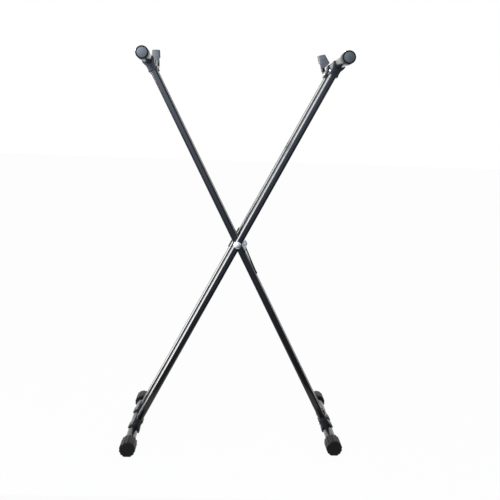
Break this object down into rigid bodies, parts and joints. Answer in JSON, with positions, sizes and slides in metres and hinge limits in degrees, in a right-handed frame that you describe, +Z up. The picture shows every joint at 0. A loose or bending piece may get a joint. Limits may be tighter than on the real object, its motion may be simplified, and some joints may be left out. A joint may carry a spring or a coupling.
{
  "type": "double x keyboard stand",
  "caption": "Folding keyboard stand of two crossed tube frames on one pivot, with arms and rear stops to hold a keyboard, rubber end caps and a squeeze lock.",
  "frame": {"origin": "on the floor under the middle of the stand's bounding box", "axes": "+Z up, -Y towards the player, +X to the player's right; the bars and arms run along Y"},
  "size_m": [0.5422, 0.5052, 1.0079],
  "materials": {
    "tube_black": "gloss",
    "collar_plastic": "satin",
    "foot_rubber": "matte",
    "cap_plastic": "satin",
    "paddle_rubber": "matte",
    "bright_steel": "satin",
    "black_steel": "satin",
    "white_nylon": "satin"
  },
  "bodies": {
    "outer_frame": {"front_gap_washer": "white_nylon", "lock_sector": "bright_steel", "outer_arm": "tube_black", "outer_arm_cap": "cap_plastic", "outer_arm_cap_screw": "bright_steel", "outer_arm_plug": "cap_plastic", "outer_base_bar": "tube_black", "outer_base_front_collar": "collar_plastic", "outer_base_front_screw": "bright_steel", "outer_base_rear_collar": "collar_plastic", "outer_base_rear_screw": "bright_steel", "outer_front_leg": "tube_black", "outer_rear_leg": "tube_black", "outer_stop_paddle": "paddle_rubber", "outer_stop_rod": "tube_black", "outer_top_front_collar": "collar_plastic", "outer_top_front_screw": "bright_steel", "outer_top_rear_collar": "collar_plastic", "outer_top_rear_screw": "bright_steel", "pivot_bolt": "bright_steel", "pivot_nut": "bright_steel", "pivot_saddle": "black_steel", "pivot_washer": "bright_steel", "rear_gap_washer": "white_nylon"},
    "inner_frame": {"bracket_front_screw": "bright_steel", "bracket_rear_screw": "bright_steel", "front_pivot_spacer": "bright_steel", "inner_arm": "tube_black", "inner_arm_cap": "cap_plastic", "inner_arm_cap_screw": "bright_steel", "inner_arm_plug": "cap_plastic", "inner_base_bar": "tube_black", "inner_base_front_collar": "collar_plastic", "inner_base_front_screw": "bright_steel", "inner_base_rear_collar": "collar_plastic", "inner_base_rear_screw": "bright_steel", "inner_front_bush": "white_nylon", "inner_front_leg": "tube_black", "inner_rear_bush": "white_nylon", "inner_rear_leg": "tube_black", "inner_stop_paddle": "paddle_rubber", "inner_stop_rod": "tube_black", "inner_top_front_collar": "collar_plastic", "inner_top_front_screw": "bright_steel", "inner_top_rear_collar": "collar_plastic", "inner_top_rear_screw": "bright_steel", "lever_pin": "bright_steel", "lock_bracket": "bright_steel", "rear_pivot_spacer": "bright_steel", "return_spring": "bright_steel"},
    "release_lever": {"release_lever": "black_steel"},
    "inner_front_foot_cap": {"inner_front_foot_cap": "foot_rubber"},
    "inner_rear_foot_cap": {"inner_rear_foot_cap": "foot_rubber"},
    "outer_front_foot_cap": {"outer_front_foot_cap": "foot_rubber"},
    "outer_rear_foot_cap": {"outer_rear_foot_cap": "foot_rubber"}
  },
  "joints": [
    {"name": "x_fold", "type": "hinge", "parent": "outer_frame", "child": "inner_frame", "pos_m": [0, -0.03465, 0.503], "axis": [0, 1, 0], "range_deg": [-35, 46]},
    {"name": "lever_squeeze", "type": "hinge", "parent": "inner_frame", "child": "release_lever", "pos_m": [0.02019, -0.02765, 0.49884], "axis": [0, -1, 0], "range_deg": [0, 20], "stiffness_Nm_per_rad": 0.05},
    {"name": "outer_front_levelling", "type": "hinge", "parent": "outer_frame", "child": "outer_front_foot_cap", "pos_m": [-0.25205, -0.20765, 0.018], "axis": [0, 1, 0], "continuous": true},
    {"name": "outer_rear_levelling", "type": "hinge", "parent": "outer_frame", "child": "outer_rear_foot_cap", "pos_m": [-0.25205, 0.14635, 0.018], "axis": [0, 1, 0], "continuous": true},
    {"name": "inner_front_levelling", "type": "hinge", "parent": "inner_frame", "child": "inner_front_foot_cap", "pos_m": [0.25205, -0.17365, 0.018], "axis": [0, 1, 0], "continuous": true},
    {"name": "inner_rear_levelling", "type": "hinge", "parent": "inner_frame", "child": "inner_rear_foot_cap", "pos_m": [0.25205, 0.18035, 0.018], "axis": [0, 1, 0], "continuous": true}
  ]
}
